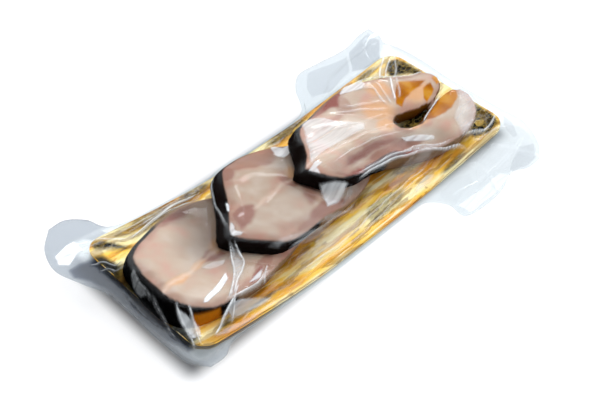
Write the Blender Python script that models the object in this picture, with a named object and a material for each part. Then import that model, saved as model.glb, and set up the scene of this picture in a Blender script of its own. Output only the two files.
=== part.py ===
# A vacuum pack of sliced inconnu: three cross-cut slices of fish, lapped over each other like
# tiles, on a gold-faced card, shut in a clear pouch.
#
# X runs along the card, from the end where the first slice's back lies to the end where the last
# slice's belly lies. Y runs across the card and Z is up. The pouch, pulled tight, curls both ends
# of the card upwards, so the pack rests on the flat middle of its back. Heights are worked out on
# a flat card first, and every solid is then raised by curl(x).

import math

import bpy
import numpy as np
from mathutils import Vector
from mathutils.bvhtree import BVHTree
from mathutils.geometry import delaunay_2d_cdt

# Driving dimensions, in metres.
CARD_LENGTH = 0.255
CARD_WIDTH = 0.100
CARD_CORNER = 0.012
CARD_THICKNESS = 0.0012

CURL_FLAT = 0.028  # half the length of the flat middle
CURL_NEAR = 0.015  # rise of the card's end at -X
CURL_FAR = 0.008  # rise of the card's end at +X
CURL_POWER = 1.4
SPOT_WIDTH = 0.088  # of the flat face that the pack rests on

FILM = 0.0009  # wall of the pouch over its contents
FILM_BACK = 0.0006  # wall of the pouch under the card
GAP = 0.0003  # between pieces that touch
SLACK = 0.0009  # air between the pouch and what it covers
VENT = (0.080, 0.0)  # a hole in the pouch's back, as its hollow isn't sealed off here
VENT_RADIUS = 0.002
VENT_SIDES = 10

SLICE_DRAPE = 0.040  # radius at which a slice bends over the one below it
SLICE_DRAPE_REACH = 0.032
FILM_DRAPE = 0.010  # radius at which the pouch bends over an edge
FILM_DRAPE_REACH = 0.016
CARD_DRAPE = 0.0015  # radius at which the pouch bends over the card's edge
CARD_DRAPE_REACH = 0.006
FAR_BELOW = -0.05  # height of a map where nothing lies
SLICE_RIM = 0.0016  # fall of a slice's cut face at its skin
SLICE_RIM_WIDTH = 0.006
SLICE_BELLY = 0.0008  # how far the skin bulges at half height

FISH_STEP = 0.0062  # length of a triangle's side
POUCH_STEP = 0.0060
CARD_STEP = 0.013
CARD_EDGE_STEP = 0.006
CURVE_STEPS = 12  # points worked out between two given points of an outline
CORNER_STEPS = 6
CELL = 0.001  # of the height maps
TEST_STEPS = 5  # places tested along a triangle's side, where it lies over another piece
LIFT_ROUNDS = 6

# Heights above the pack's underside, on a flat card.
CARD_LOW = FILM_BACK + GAP
CARD_HIGH = CARD_LOW + CARD_THICKNESS

# Outlines of the slices' upper faces. Each starts at the middle of the back, at -X, and runs
# round by the -Y side. The knife went in aslant, so the underside lies off the top by the lean.
# A slice is thinner at its belly, which the next slice presses down.
SLICES = {
    "slice_front": {
        "outline": [
            (-0.1215, -0.006), (-0.1208, -0.019), (-0.1160, -0.030), (-0.1075, -0.0370),
            (-0.0970, -0.0400), (-0.0850, -0.0385), (-0.0700, -0.0385), (-0.0560, -0.0345),
            (-0.0380, -0.0290), (-0.0200, -0.0200), (-0.0130, -0.0040), (-0.0170, 0.0140),
            (-0.0320, 0.0280), (-0.0520, 0.0335), (-0.0700, 0.0350), (-0.0860, 0.0325),
            (-0.1000, 0.0280), (-0.1120, 0.0230), (-0.1200, 0.0140),
        ],
        "lean": (-0.0045, 0.002),
        "thickness": 0.0112,
        "belly_thickness": 0.0040,
        "taper": (-0.078, -0.022),
    },
    "slice_middle": {
        "outline": [
            (-0.0700, -0.0095), (-0.0640, -0.0180), (-0.0560, -0.0255), (-0.0465, -0.0325),
            (-0.0330, -0.0320), (-0.0150, -0.0290), (0.0020, -0.0280), (0.0200, -0.0250),
            (0.0360, -0.0180), (0.0440, -0.0040), (0.0420, 0.0120), (0.0310, 0.0260),
            (0.0150, 0.0365), (-0.0030, 0.0430), (-0.0180, 0.0450), (-0.0300, 0.0425),
            (-0.0410, 0.0300), (-0.0520, 0.0135), (-0.0630, 0.0000),
        ],
        "lean": (-0.007, 0.003),
        "thickness": 0.0100,
        "belly_thickness": 0.0040,
        "taper": (-0.020, 0.035),
    },
    "slice_rear": {
        "outline": [
            (-0.0030, 0.0010), (0.0010, -0.0100), (0.0080, -0.0190), (0.0230, -0.0220),
            (0.0400, -0.0220), (0.0580, -0.0270), (0.0740, -0.0360), (0.0920, -0.0410),
            (0.1090, -0.0380), (0.1200, -0.0290), (0.1245, -0.0180), (0.1215, -0.0105),
            (0.1130, -0.0092), (0.1000, -0.0112), (0.0880, -0.0145), (0.0780, -0.0130),
            (0.0730, -0.0050), (0.0780, 0.0010), (0.0870, -0.0020), (0.0970, -0.0066),
            (0.1070, -0.0068), (0.1160, -0.0040), (0.1230, 0.0045), (0.1205, 0.0140),
            (0.1120, 0.0190), (0.1000, 0.0300), (0.0820, 0.0405), (0.0640, 0.0430),
            (0.0400, 0.0390), (0.0240, 0.0325), (0.0140, 0.0190), (0.0050, 0.0070),
        ],
        "lean": (-0.007, 0.003),
        "thickness": 0.0095,
        "belly_thickness": 0.0095,
        "taper": (0.100, 0.120),
    },
}

# Edge of the pouch's flattened ends, seen from above. Along the card's sides it lies close.
POUCH_OUTLINE = [
    (-0.1375, -0.0050), (-0.1380, -0.0300), (-0.1365, -0.0500), (-0.1290, -0.0600),
    (-0.1180, -0.0590), (-0.1060, -0.0535), (-0.0700, -0.0525), (-0.0100, -0.0525),
    (0.0360, -0.0525), (0.0460, -0.0550), (0.0530, -0.0650), (0.0530, -0.0770),
    (0.0690, -0.0805), (0.0850, -0.0795), (0.1000, -0.0750), (0.1100, -0.0795),
    (0.1210, -0.0800), (0.1310, -0.0710), (0.1365, -0.0550), (0.1355, -0.0350),
    (0.1350, 0.0000), (0.1370, 0.0300), (0.1360, 0.0480), (0.1340, 0.0600),
    (0.1400, 0.0700), (0.1410, 0.0810), (0.1300, 0.0810), (0.1140, 0.0780),
    (0.0920, 0.0810), (0.0740, 0.0825), (0.0620, 0.0735), (0.0560, 0.0640),
    (0.0490, 0.0550), (0.0360, 0.0525),
    (-0.0100, 0.0525), (-0.0700, 0.0525), (-0.1030, 0.0540), (-0.1120, 0.0660),
    (-0.1220, 0.0720), (-0.1340, 0.0700), (-0.1450, 0.0580), (-0.1490, 0.0420),
    (-0.1440, 0.0260), (-0.1380, 0.0120),
]
FLAP_DROOP = 0.60  # share of its height that a flap at +X loses on its way out
FLAP_REACH = 0.030  # over this length
FLAP_FILM = 0.0013  # both walls, sealed together
FLAP_WAVE = 0.0014
FLAP_WAVE_LENGTH = 0.028
FLAP_WAVE_ACROSS = (0.8, 1.0)  # waves across the card: how close together, and where they start
FLAP_LOWEST = 0.0004
LOBE_RISE = 0.006  # the lobe at -X, +Y curls up at its tip


def curl(x):
    """Rise of the pack's underside at x: none in the middle, and more towards each end."""
    span = CARD_LENGTH / 2 - CURL_FLAT
    near = np.clip((-x - CURL_FLAT) / span, 0, None) ** CURL_POWER
    far = np.clip((x - CURL_FLAT) / span, 0, None) ** CURL_POWER
    return CURL_NEAR * near + CURL_FAR * far


def smoothstep(value):
    held = np.clip(value, 0, 1)
    return held * held * (3 - 2 * held)


def resampled(points, step):
    """The closed line through points, as points about step apart."""
    closed = np.vstack([points, points[:1]])
    along = np.concatenate([[0], np.cumsum(np.linalg.norm(np.diff(closed, axis=0), axis=1))])
    count = max(8, round(along[-1] / step))
    at = np.arange(count) * along[-1] / count
    return np.stack([np.interp(at, along, closed[:, k]) for k in (0, 1)], axis=-1)


def smooth_outline(points, step):
    """A closed Catmull-Rom curve through points, as points about step apart."""
    points = np.array(points, float)
    before, after, beyond = (np.roll(points, shift, axis=0) for shift in (1, -1, -2))
    fine = []
    for t in np.linspace(0, 1, CURVE_STEPS, endpoint=False):
        fine.append(
            0.5 * (
                2 * points
                + (after - before) * t
                + (2 * before - 5 * points + 4 * after - beyond) * t**2
                + (3 * points - before - 3 * after + beyond) * t**3
            )
        )
    return resampled(np.stack(fine, axis=1).reshape(-1, 2), step)


def card_outline(margin, step):
    """The card's outline, a rectangle with round corners, moved outwards by margin."""
    radius = CARD_CORNER + margin
    across, along = CARD_WIDTH / 2 - CARD_CORNER, CARD_LENGTH / 2 - CARD_CORNER
    corners = [(along, across), (-along, across), (-along, -across), (along, -across)]
    points = []
    for quarter, (x, y) in enumerate(corners):
        for angle in np.linspace(quarter, quarter + 1, CORNER_STEPS + 1) * math.pi / 2:
            points.append((x + radius * math.cos(angle), y + radius * math.sin(angle)))
    return resampled(np.array(points), step)


def rectangle(x, y):
    return np.array([(-x, -y), (x, -y), (x, y), (-x, y)])


def inside(points, outline):
    """True for each point that lies inside the closed outline."""
    x, y = points[:, :1], points[:, 1:]
    x0, y0 = outline.T
    x1, y1 = np.roll(outline, -1, axis=0).T
    straddles = (y0 > y) != (y1 > y)
    rise = np.where(y1 == y0, 1e-12, y1 - y0)
    return (straddles & (x < x0 + (y - y0) * (x1 - x0) / rise)).sum(axis=1) % 2 == 1


def distance(points, outline):
    """How far each point lies from the closed outline."""
    start, side = outline, np.roll(outline, -1, axis=0) - outline
    offset = points[:, None] - start
    share = np.clip((offset * side).sum(axis=2) / (side * side).sum(axis=1), 0, 1)
    return np.linalg.norm(offset - share[..., None] * side, axis=2).min(axis=1)


def anticlockwise(outline):
    x, y = outline.T
    area = (x * np.roll(y, -1) - np.roll(x, -1) * y).sum()
    return outline if area > 0 else outline[::-1]


def honeycomb(rings, step):
    """Points step apart, in rows set off by half a step, that keep off every ring."""
    low, high = rings[0].min(axis=0), rings[0].max(axis=0)
    row_gap = step * math.sqrt(3) / 2
    rows = []
    for row, y in enumerate(np.arange(low[1], high[1], row_gap)):
        x = np.arange(low[0] + (row % 2) * step / 2, high[0], step)
        rows.append(np.stack([x, np.full_like(x, y)], axis=-1))
    points = np.vstack(rows)
    points = points[inside(points, rings[0])]
    for ring in rings:
        points = points[distance(points, ring) > 0.6 * step]
    return points


def triangulated(rings, fill):
    """(points, triangles) over the plane: the rings' points in order, then the fill's."""
    points = np.vstack([*rings, fill])
    edges, start = [], 0
    for ring in rings:
        count = len(ring)
        edges += [(start + i, start + (i + 1) % count) for i in range(count)]
        start += count
    flat = [Vector(point) for point in points]
    _, _, faces, sources, _, _ = delaunay_2d_cdt(flat, edges, [], 0, 1e-7)
    triangles = np.array([[sources[corner][0] for corner in face] for face in faces])
    a, b, c = (points[triangles[:, k]] for k in range(3))
    turned = (b[:, 0] - a[:, 0]) * (c[:, 1] - a[:, 1]) < (b[:, 1] - a[:, 1]) * (c[:, 0] - a[:, 0])
    triangles[turned] = triangles[turned][:, ::-1]
    return points, triangles


def centres(points, triangles):
    return points[triangles].mean(axis=1)


def material(name, colour, roughness, metallic=0.0, alpha=1.0):
    made = bpy.data.materials.new(name)
    made.use_nodes = True
    shader = made.node_tree.nodes["Principled BSDF"]
    shader.inputs["Base Color"].default_value = (*colour, 1.0)
    shader.inputs["Roughness"].default_value = roughness
    shader.inputs["Metallic"].default_value = metallic
    shader.inputs["Alpha"].default_value = alpha
    return made


def make_object(name, vertices, faces, look):
    """Adds the solid to the scene, raised by the curl."""
    raised = np.array(vertices, float)
    raised[:, 2] += curl(raised[:, 0])
    mesh = bpy.data.meshes.new(name)
    mesh.from_pydata(raised.tolist(), [], [list(map(int, face)) for face in faces])
    mesh.materials.append(look)
    mesh.validate()
    mesh.update()
    obj = bpy.data.objects.new(name, mesh)
    bpy.context.scene.collection.objects.link(obj)
    return obj


def wall(lower, upper):
    """Triangles between two rings of as many vertices, facing outwards when they run anticlockwise."""
    faces = []
    for i in range(len(lower)):
        j = (i + 1) % len(lower)
        faces += [(lower[i], lower[j], upper[j]), (lower[i], upper[j], upper[i])]
    return faces


class HeightMap:
    """Heights over the whole pack on a square grid, on a flat card."""

    low = np.array([-0.165, -0.095])
    high = np.array([0.155, 0.095])

    def __init__(self, values=None):
        counts = np.round((self.high - self.low) / CELL).astype(int) + 1
        xs = self.low[0] + CELL * np.arange(counts[0])
        ys = self.low[1] + CELL * np.arange(counts[1])
        self.points = np.stack(np.meshgrid(xs, ys, indexing="ij"), axis=-1)
        self.values = np.full(tuple(counts), FAR_BELOW) if values is None else values

    def loaded(self, vertices, faces):
        """This map with a solid lying on it."""
        solid = BVHTree.FromPolygons(
            [Vector(vertex) for vertex in vertices],
            [tuple(map(int, face)) for face in faces],
        )
        values = self.values.copy()
        for cell in np.ndindex(values.shape):
            x, y = self.points[cell]
            hit = solid.ray_cast(Vector((x, y, 1)), Vector((0, 0, -1)))[0]
            if hit:
                values[cell] = max(values[cell], hit.z)
        return HeightMap(values)

    def draped(self, radius, reach):
        """The surface that a sheet takes over this map, bending at no less than radius."""
        steps = int(reach / CELL)
        padded = np.pad(self.values, steps, mode="edge")
        rows, columns = self.values.shape
        best = self.values.copy()
        for i in range(-steps, steps + 1):
            for j in range(-steps, steps + 1):
                fall = (i * i + j * j) * CELL * CELL / (2 * radius)
                moved = padded[steps + i : steps + i + rows, steps + j : steps + j + columns]
                best = np.maximum(best, moved - fall)
        return HeightMap(best)

    def at(self, points):
        """Heights at points: the highest of the four grid points round each."""
        place = (np.asarray(points) - self.low) / CELL
        most = np.array(self.values.shape) - 1
        near = np.clip(np.floor(place), 0, most).astype(int)
        far = np.clip(near + 1, 0, most)
        rows, columns = (near[..., 0], far[..., 0]), (near[..., 1], far[..., 1])
        return np.max([self.values[i, j] for i in rows for j in columns], axis=0)


def lifted_clear(points, triangles, heights, below):
    """Heights at points, raised until no triangle between them dips under the map below."""
    steps = np.arange(TEST_STEPS + 1)
    shares = np.array([(i, j, TEST_STEPS - i - j) for i in steps for j in steps if i + j <= TEST_STEPS])
    shares = shares / TEST_STEPS
    wanted = below.at(shares @ points[triangles])
    heights = heights.copy()
    for _ in range(LIFT_ROUNDS):
        short = (wanted - (shares @ heights[triangles][..., None])[..., 0]).max(axis=1)
        lift = np.zeros(len(heights))
        np.maximum.at(lift, triangles.ravel(), np.repeat(short, 3))
        heights += np.maximum(lift, 0)
    return heights


def make_slice(name, shape, bed, look):
    """A slice of fish lying on bed. Gives the map of bed with the slice on it."""
    outline = anticlockwise(smooth_outline(shape["outline"], FISH_STEP))
    points, triangles = triangulated([outline], honeycomb([outline], FISH_STEP))
    triangles = triangles[inside(centres(points, triangles), outline)]
    count, rim = len(points), len(outline)
    lean = np.array(shape["lean"])

    draped = bed.draped(SLICE_DRAPE, SLICE_DRAPE_REACH)
    low = draped.at(points + lean) + GAP
    low = lifted_clear(points + lean, triangles, low, HeightMap(bed.values + GAP))
    start, end = shape["taper"]
    thinning = smoothstep((points[:, 0] - start) / (end - start))
    thick = shape["thickness"] + (shape["belly_thickness"] - shape["thickness"]) * thinning
    edge = 1 - smoothstep(distance(points, outline) / SLICE_RIM_WIDTH)
    high = low + thick - SLICE_RIM * edge

    tangent = np.roll(outline, -1, axis=0) - np.roll(outline, 1, axis=0)
    outward = np.stack([tangent[:, 1], -tangent[:, 0]], axis=-1)
    outward /= np.linalg.norm(outward, axis=1, keepdims=True)
    belly = outline + lean / 2 + outward * SLICE_BELLY
    belly_height = (low[:rim] + high[:rim]) / 2

    vertices = np.vstack([
        np.column_stack([points, high]),
        np.column_stack([points + lean, low]),
        np.column_stack([belly, belly_height]),
    ])
    upper, lower, middle = np.arange(rim), count + np.arange(rim), 2 * count + np.arange(rim)
    faces = [*triangles, *(triangles[:, ::-1] + count), *wall(lower, middle), *wall(middle, upper)]
    make_object(name, vertices, faces, look)
    return bed.loaded(vertices, faces)


def make_card(look):
    """The card, lying on the pouch's back. Gives the map of its top."""
    outline = anticlockwise(card_outline(0, CARD_EDGE_STEP))
    points, triangles = triangulated([outline], honeycomb([outline], CARD_STEP))
    triangles = triangles[inside(centres(points, triangles), outline)]
    count, rim = len(points), np.arange(len(outline))
    vertices = np.vstack([
        np.column_stack([points, np.full(count, CARD_HIGH)]),
        np.column_stack([points, np.full(count, CARD_LOW)]),
    ])
    faces = [*triangles, *(triangles[:, ::-1] + count), *wall(rim + count, rim)]
    make_object("card", vertices, faces, look)
    return HeightMap().loaded(vertices, faces)


def flap_height(points):
    """Underside of the flattened pouch outside the card, as it is before curl() raises it."""
    x, y = points.T
    share = smoothstep(distance(points, card_outline(0, CARD_EDGE_STEP / 2)) / FLAP_REACH)
    rise = curl(x)
    droop = np.where(x > 0, FLAP_DROOP, 0.0) * share * rise
    lobe = LOBE_RISE * smoothstep(y / CARD_WIDTH * 2 - 1) * (x < 0) * share
    turn = 2 * math.pi / FLAP_WAVE_LENGTH
    share_across, start_across = FLAP_WAVE_ACROSS
    wave = np.sin(x * turn) + np.cos(y * turn * share_across + start_across)
    height = FLAP_WAVE * wave * share - droop + lobe
    return np.maximum(height, FLAP_LOWEST * share - rise)


def make_pouch(card, contents, look):
    """The pouch as one thin wall round a hollow, from the map of the card and of all it holds."""
    fish = HeightMap(np.where(contents.values > card.values, contents.values, FAR_BELOW))
    over_fish = fish.draped(FILM_DRAPE, FILM_DRAPE_REACH)
    over_card = card.draped(CARD_DRAPE, CARD_DRAPE_REACH)
    tight = HeightMap(np.maximum(over_fish.values, over_card.values))
    outer = anticlockwise(smooth_outline(POUCH_OUTLINE, POUCH_STEP))
    rim = anticlockwise(card_outline(GAP, POUCH_STEP))
    angles = np.linspace(0, 2 * math.pi, VENT_SIDES, endpoint=False)
    vent = VENT + VENT_RADIUS * np.stack([np.cos(angles), np.sin(angles)], axis=-1)
    outer_count, rim_count, vent_count = len(outer), len(rim), len(vent)

    # Over the contents and the flaps, the pouch's two faces share one set of triangles.
    points, triangles = triangulated([outer, rim], honeycomb([outer, rim], POUCH_STEP))
    middle = centres(points, triangles)
    triangles = triangles[inside(middle, outer)]
    over = inside(centres(points, triangles), rim)
    ceiling = tight.at(points) + SLACK
    ceiling = lifted_clear(points, triangles, ceiling, HeightMap(contents.values + SLACK))
    flap = flap_height(points)
    flap[outer_count : outer_count + rim_count] = 0
    top = np.maximum(ceiling + FILM, flap + FLAP_FILM)
    count = len(points)

    # Under the card, larger triangles do, round the vent and on the flat face to rest on.
    rings = [rim, vent, resampled(rectangle(CURL_FLAT, SPOT_WIDTH / 2), CARD_STEP)]
    back_points, back = triangulated(rings, honeycomb(rings, CARD_STEP))
    back_middle = centres(back_points, back)
    back = back[inside(back_middle, rim) & ~inside(back_middle, vent)]
    back_count = len(back_points)

    flat_back = np.zeros(back_count)
    vertices = np.vstack([
        np.column_stack([points, top]),
        np.column_stack([points, ceiling]),
        np.column_stack([points, flap]),
        np.column_stack([back_points, flat_back + FILM_BACK]),
        np.column_stack([back_points, flat_back]),
    ])
    inner, under, floor, sole = count, 2 * count, 3 * count, 3 * count + back_count
    outer_ring = np.arange(outer_count)
    rim_ring = outer_count + np.arange(rim_count)
    back_rim = np.arange(rim_count)
    vent_ring = rim_count + np.arange(vent_count)

    # The pouch's back and its flaps meet at the card's edge, so they share those vertices.
    shared = np.arange(back_count) + sole
    shared[back_rim] = rim_ring + under
    faces = [
        *triangles,
        *(triangles[~over][:, ::-1] + under),
        *(triangles[over][:, ::-1] + inner),
        *(back + floor),
        *shared[back[:, ::-1]],
        *wall(outer_ring + under, outer_ring),
        *wall(rim_ring + inner, back_rim + floor),
        *wall(shared[vent_ring][::-1], (vent_ring + floor)[::-1]),
    ]
    used = np.unique(np.concatenate([np.asarray(face) for face in faces]))
    renumbered = np.full(len(vertices), -1)
    renumbered[used] = np.arange(len(used))
    make_object("pouch", vertices[used], [renumbered[list(face)] for face in faces], look)


def main():
    for obj in list(bpy.data.objects):
        bpy.data.objects.remove(obj)
    flesh = material("fish flesh", (0.60, 0.47, 0.40), 0.35)
    gold = material("gold-faced card", (0.83, 0.55, 0.14), 0.28, metallic=0.9)
    clear = material("clear film", (0.90, 0.93, 0.96), 0.08, alpha=0.25)

    card = make_card(gold)
    contents = card
    for name, shape in SLICES.items():
        contents = make_slice(name, shape, contents, flesh)
    make_pouch(card, contents, clear)


main()
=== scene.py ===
import math

import bmesh
import bpy
import numpy as np
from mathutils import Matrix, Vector, noise
from mathutils.bvhtree import BVHTree
from mathutils.kdtree import KDTree


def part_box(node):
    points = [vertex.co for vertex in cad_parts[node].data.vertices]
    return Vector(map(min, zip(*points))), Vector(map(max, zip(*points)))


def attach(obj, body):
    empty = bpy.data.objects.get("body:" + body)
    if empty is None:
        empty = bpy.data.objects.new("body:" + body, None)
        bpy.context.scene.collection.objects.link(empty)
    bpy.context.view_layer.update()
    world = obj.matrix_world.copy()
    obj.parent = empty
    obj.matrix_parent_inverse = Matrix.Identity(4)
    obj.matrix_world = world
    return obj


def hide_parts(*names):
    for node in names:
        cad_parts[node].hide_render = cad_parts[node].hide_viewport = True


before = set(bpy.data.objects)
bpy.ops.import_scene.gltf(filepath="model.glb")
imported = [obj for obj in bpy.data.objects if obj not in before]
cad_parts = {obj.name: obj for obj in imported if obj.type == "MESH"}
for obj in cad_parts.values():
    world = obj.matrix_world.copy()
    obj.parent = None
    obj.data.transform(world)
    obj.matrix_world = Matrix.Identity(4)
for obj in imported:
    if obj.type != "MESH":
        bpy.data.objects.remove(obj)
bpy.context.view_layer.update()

# The card
# A stiff board with round corners, faced with gold foil and white behind. It is die-cut, and the
# pouch, pulled tight round it, curls both its ends upwards. Lengths are in metres.
CARD_LENGTH = 0.255
CARD_WIDTH = 0.100
CARD_CORNER = 0.012
CARD_LOW, CARD_HIGH = 0.0009, 0.0021  # on a flat card, above the pack's underside
CURL_FLAT, CURL_NEAR, CURL_FAR, CURL_POWER = 0.028, 0.015, 0.008, 1.4
MM = 0.001


def curl(x):
    """Rise of the pack's underside at x, which every piece is lifted by."""
    span = CARD_LENGTH / 2 - CURL_FLAT
    near = np.clip((-x - CURL_FLAT) / span, 0, None) ** CURL_POWER
    far = np.clip((x - CURL_FLAT) / span, 0, None) ** CURL_POWER
    return CURL_NEAR * near + CURL_FAR * far


def smoothstep(value, start=0.0, end=1.0):
    held = np.clip((value - start) / (end - start), 0, 1)
    return held * held * (3 - 2 * held)


def hex_colour(code):
    """(red, green, blue, 1) in linear light from an sRGB hex code."""
    parts = [int(code[i : i + 2], 16) / 255 for i in (1, 3, 5)]
    linear = [c / 12.92 if c <= 0.04045 else ((c + 0.055) / 1.055) ** 2.4 for c in parts]
    return (*linear, 1.0)


def add_node(tree, kind, settings):
    """Adds a node with its properties and inputs.

    An input is linked to a socket or set to a number, a vector or a hex code. The stops of a colour
    ramp are pairs of a position and a hex code, a grey or a colour.
    """
    node = tree.nodes.new(kind)
    for key, value in settings.items():
        if key == "stops":
            elements = node.color_ramp.elements
            while len(elements) < len(value):
                elements.new(0.5)
            for element, (position, colour) in zip(elements, value):
                if isinstance(colour, float):
                    colour = (colour, colour, colour, 1)
                element.position = position
                element.color = hex_colour(colour) if isinstance(colour, str) else colour
        elif isinstance(value, bpy.types.NodeSocket):
            tree.links.new(value, node.inputs[key])
        elif isinstance(key, str) and hasattr(node, key):
            setattr(node, key, value)
        else:
            node.inputs[key].default_value = hex_colour(value) if isinstance(value, str) else value
    return node


def new_material(name):
    """A material with no nodes yet, and its node tree."""
    material = bpy.data.materials.new(name)
    material.use_nodes = True
    material.node_tree.nodes.clear()
    return material, material.node_tree


def object_coordinates(tree, size):
    """Coordinates in which a pattern's repeat is size, in millimetres along x, y and z."""
    place = add_node(tree, "ShaderNodeTexCoord", {}).outputs["Object"]
    scale = tuple(1 / (length * MM) for length in size)
    return add_node(tree, "ShaderNodeMapping", {"Scale": scale, "Vector": place}).outputs["Vector"]


def grid_faces(rows, columns, start=0):
    """Quads over a grid of vertices, numbered row by row."""
    corner = start + np.arange(rows - 1)[:, None] * columns + np.arange(columns - 1)
    return np.stack([corner, corner + columns, corner + columns + 1, corner + 1], axis=-1).reshape(-1, 4)


def border(rows, columns):
    """The edge vertices of such a grid, in order round it."""
    ring = [i * columns for i in range(rows - 1)]
    ring += [(rows - 1) * columns + j for j in range(columns - 1)]
    ring += [i * columns + columns - 1 for i in range(rows - 1, 0, -1)]
    return ring + list(range(columns - 1, 0, -1))


def new_piece(name, vertices, faces, material):
    mesh = bpy.data.meshes.new(name)
    mesh.from_pydata(np.asarray(vertices).tolist(), [], [list(map(int, face)) for face in faces])
    mesh.materials.append(material)
    mesh.shade_smooth()
    piece = bpy.data.objects.new(name, mesh)
    bpy.context.scene.collection.objects.link(piece)
    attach(piece, "root")
    return piece


def gold_foil():
    """Aluminium foil with a gold lacquer, laminated to the board and pressed hard by the vacuum.

    Long shallow creases break it into narrow panes. Its colour paints shade in their troughs and
    highlights on their crests, and where it is crumpled, dark reflections in small facets with painted
    highlights on their ridges. It is only partly a mirror, for the crinkles too fine to draw, and has
    little shine of its own under the film.
    """
    material, tree = new_material("gold foil laminate")
    crumple = add_node(tree, "ShaderNodeAttribute", {"attribute_name": "crumple"}).outputs["Fac"]
    patches = add_node(tree, "ShaderNodeTexNoise", {
        "Scale": 1.0, "Detail": 2.0, "Vector": object_coordinates(tree, (60, 10, 20)),
    }).outputs["Fac"]
    streaks = add_node(tree, "ShaderNodeTexNoise", {
        "Scale": 1.0, "Detail": 6.0, "Roughness": 0.66, "Distortion": 0.5,
        "Vector": object_coordinates(tree, (48, 3.5, 20)),
    }).outputs["Fac"]
    bends = add_node(tree, "ShaderNodeTexNoise", {
        "Scale": 1.0, "Detail": 3.0, "Vector": object_coordinates(tree, (7, 5, 8)),
    }).outputs["Color"]

    def bent(size, amount):
        """Coordinates that bend the straight edges of a pattern of cells of this size."""
        return add_node(tree, "ShaderNodeVectorMath", {
            "operation": "MULTIPLY_ADD", 0: bends, 1: (amount,) * 3, 2: object_coordinates(tree, size),
        }).outputs["Vector"]

    small, narrow = bent((5, 3, 5), 2.0), bent((16, 2.2, 16), 1.2)
    facets = add_node(tree, "ShaderNodeTexVoronoi", {"Scale": 1.0, "Vector": small})
    panes = add_node(tree, "ShaderNodeTexVoronoi", {"Scale": 1.0, "Vector": narrow})
    ridges = add_node(
        tree, "ShaderNodeTexVoronoi", {"feature": "DISTANCE_TO_EDGE", "Scale": 1.0, "Vector": small}
    )
    tint, turned, lines, crest_highlights, dark, lit = (
        add_node(tree, "ShaderNodeValToRGB", {"Fac": pattern, "stops": stops}).outputs["Color"]
        for pattern, stops in (
            (patches, [(0.36, "#EA9E2E"), (0.48, "#FFCA50"), (0.57, "#FFEAB0")]),
            (panes.outputs["Color"], [(0.30, "#805818"), (0.39, "#E0B05A"), (0.46, "#FFFFFF")]),
            (streaks, [(0.32, "#3E300E"), (0.38, "#FFFFFF")]),
            (streaks, [(0.56, 0.0), (0.63, 0.80)]),
            (facets.outputs["Color"],
             [(0.36, "#0A0702"), (0.66, "#221906"), (0.86, "#6A4E18"), (0.98, "#A8863A")]),
            (ridges.outputs["Distance"], [(0.02, "#E8C264"), (0.10, "#000000")]),
        )
    )
    # The crumpled facets' colour: painted dark reflections, with painted highlights along their ridges.
    crumple_reflections = add_node(
        tree, "ShaderNodeMix", {"data_type": "RGBA", "blend_type": "ADD", 0: 0.25, 6: dark, 7: lit}
    ).outputs[2]
    # Painted shade in the creases' troughs and painted highlights on their crests, then the crumpled places.
    colour = tint
    for mode, share, layer in (
        ("MULTIPLY", 0.5, turned), ("MULTIPLY", 0.65, lines),
        ("MIX", crest_highlights, "#FFECBC"), ("MIX", crumple, crumple_reflections),
    ):
        colour = add_node(tree, "ShaderNodeMix", {
            "data_type": "RGBA", "blend_type": mode, 0: share, 6: colour, 7: layer,
        }).outputs[2]
    dents = add_node(tree, "ShaderNodeBump", {
        "Distance": 1.2 * MM, "Height": facets.outputs["Distance"], "Strength": crumple,
    }).outputs["Normal"]
    creases = add_node(tree, "ShaderNodeBump", {
        "Distance": 1.0 * MM, "Height": streaks, "Strength": 0.5, "Normal": dents,
    }).outputs["Normal"]
    surface = add_node(tree, "ShaderNodeBsdfPrincipled", {
        "Metallic": 0.38, "Roughness": 0.22, "Specular IOR Level": 0.1,
        "Base Color": colour, "Normal": creases,
    })
    add_node(tree, "ShaderNodeOutputMaterial", {"Surface": surface.outputs["BSDF"]})
    return material


CARD_COLUMNS, CORNER_COLUMNS, CARD_ROWS = 181, 9, 81  # points along it, round a corner, across it


def card_surface(height):
    """A grid of points over the card at a height above the pack's underside."""
    straight = np.linspace(-1, 1, CARD_COLUMNS) * (CARD_LENGTH / 2 - CARD_CORNER)
    angles = np.linspace(0, math.pi / 2, CORNER_COLUMNS)[1:]
    bend = CARD_LENGTH / 2 - CARD_CORNER + CARD_CORNER * np.sin(angles)
    x = np.concatenate([-bend[::-1], straight, bend])
    short = CARD_CORNER * (1 - np.cos(angles))
    half = CARD_WIDTH / 2 - np.concatenate([short[::-1], np.zeros(len(straight)), short])
    across = np.linspace(-1, 1, CARD_ROWS)
    points = np.empty((len(x), len(across), 3))
    points[..., 0] = x[:, None]
    points[..., 1] = half[:, None] * across
    points[..., 2] = height + curl(x)[:, None]
    return points


def vertex_values(mesh, name):
    """The places ("co") or the normals ("normal") of the mesh's vertices."""
    values = np.empty(len(mesh.vertices) * 3, np.float32)
    mesh.vertices.foreach_get(name, values)
    return values.reshape(-1, 3).astype(float)


def near_spot(places, spot):
    """1 at the middle of an ellipse (x, y, half length, half width, degrees), 0 past its edge."""
    x, y, long, wide, turn = spot
    angle = math.radians(turn)
    dx, dy = places[:, 0] - x * MM, places[:, 1] - y * MM
    along = (dx * math.cos(angle) + dy * math.sin(angle)) / (long * MM)
    over = (dy * math.cos(angle) - dx * math.sin(angle)) / (wide * MM)
    return 1 - smoothstep(np.hypot(along, over), 0.35, 1.0)


def set_attribute(mesh, name, values):
    mesh.attributes.new(name, "FLOAT", "POINT").data.foreach_set("value", values.astype(np.float32))


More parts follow.
